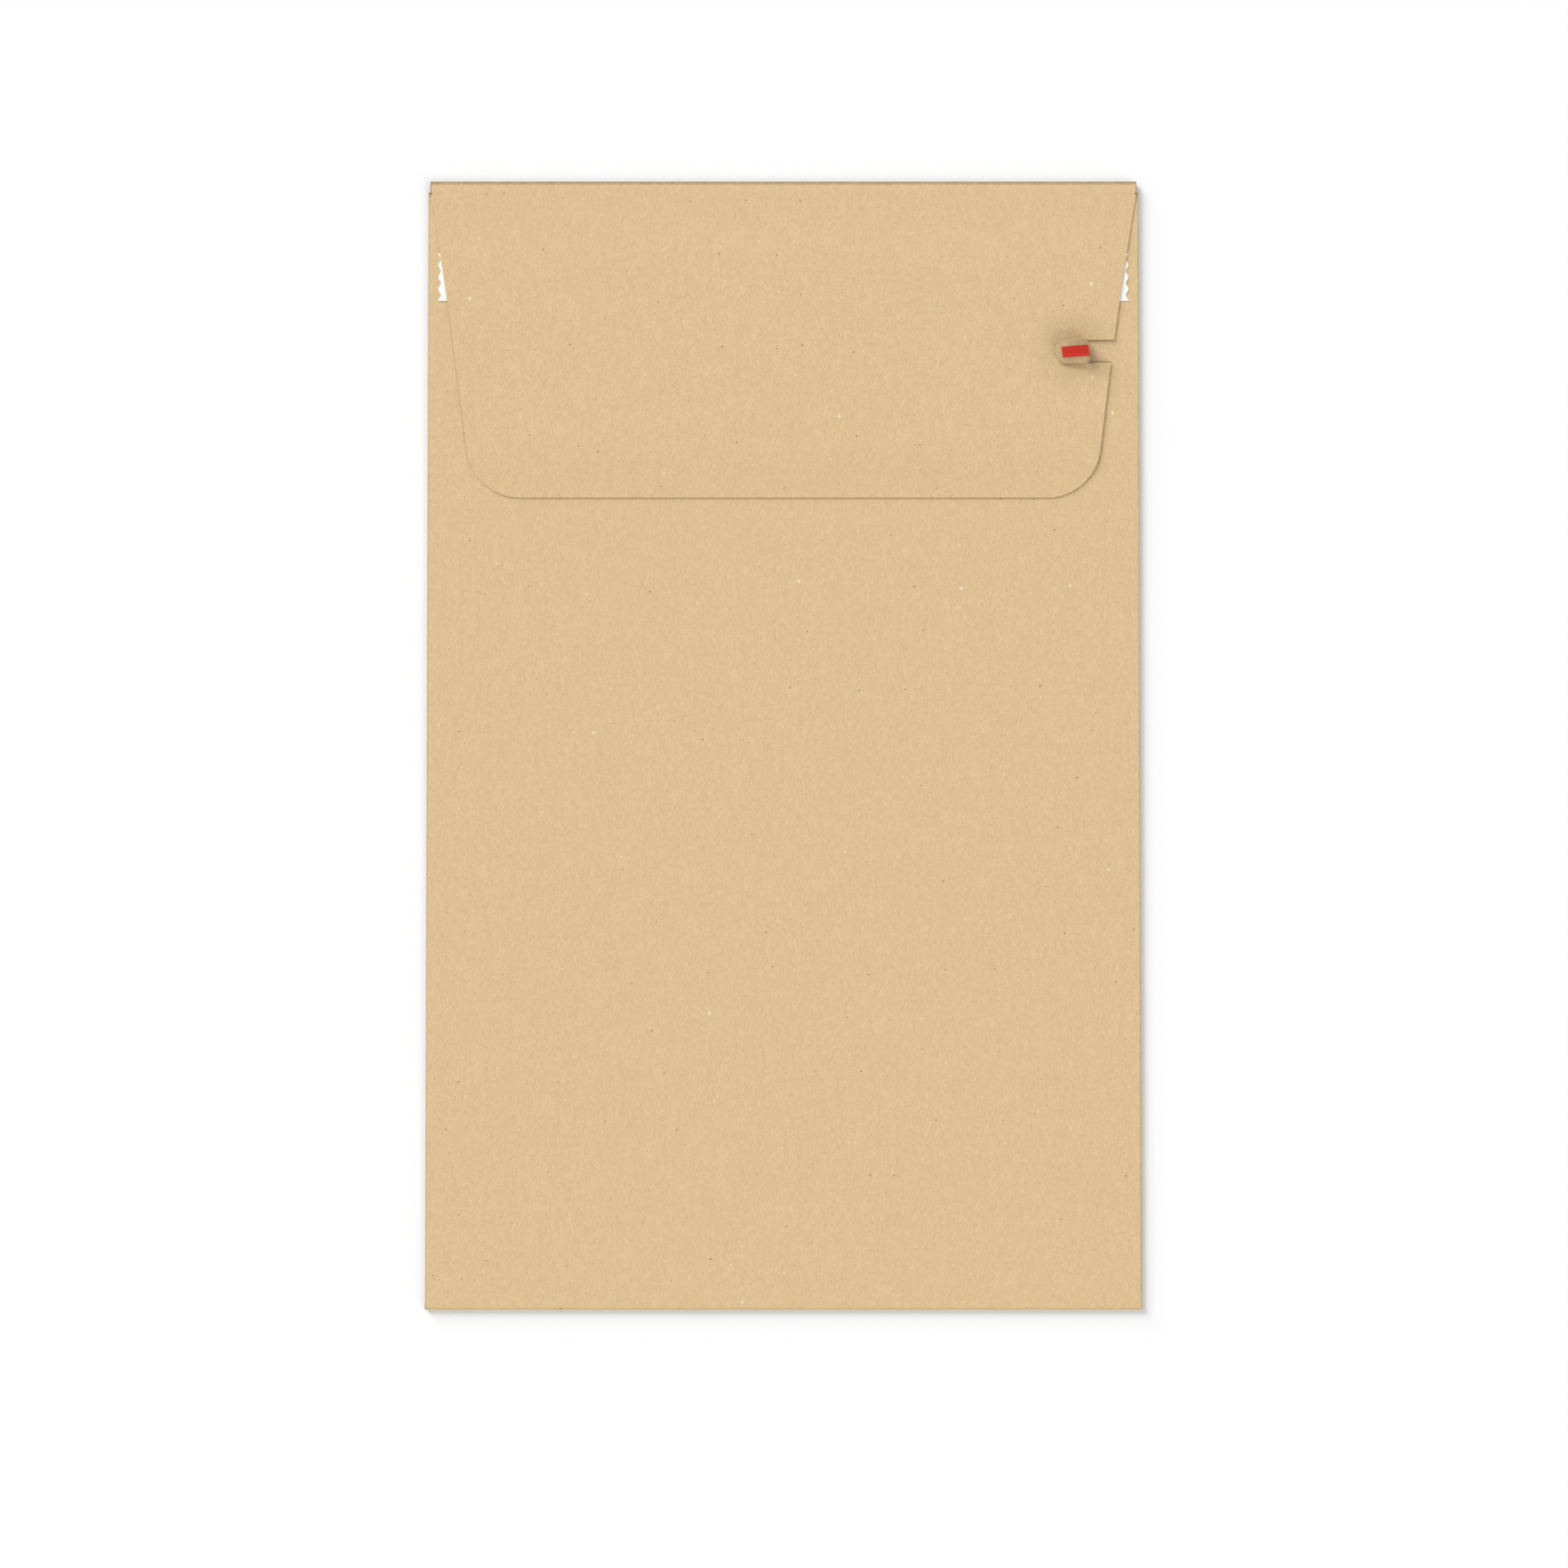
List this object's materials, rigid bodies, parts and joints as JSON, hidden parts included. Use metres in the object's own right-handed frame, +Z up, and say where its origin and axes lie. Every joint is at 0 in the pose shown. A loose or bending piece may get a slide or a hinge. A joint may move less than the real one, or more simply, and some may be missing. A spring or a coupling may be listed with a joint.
{
  "type": "gusseted paper mailing bag",
  "caption": "Flat kraft paper mailing bag with folded-in side gussets, a tapered flap folded over, a red tear tape with pull tab, and serrated white liners over its adhesive.",
  "frame": {"origin": "on the ground under the middle of the bag, which lies on its address side", "axes": "+X across the bag towards the pull tab, +Y along the bag towards the top fold of the flap, +Z up from the address side to the flap side"},
  "size_m": [0.25, 0.3958, 0.0053],
  "materials": {
    "kraft_paper": "matt brown kraft paper with fine fibres",
    "tear_tape": "satin red film with fine lines along it",
    "adhesive": "tacky translucent adhesive film",
    "release_liner": "smooth white siliconised paper"
  },
  "bodies": {
    "root": {"paper_bag": "kraft_paper", "tear_tape": "tear_tape", "return_adhesive": "adhesive", "return_liner": "release_liner", "closing_adhesive": "adhesive", "closing_liner": "release_liner"}
  },
  "joints": []
}
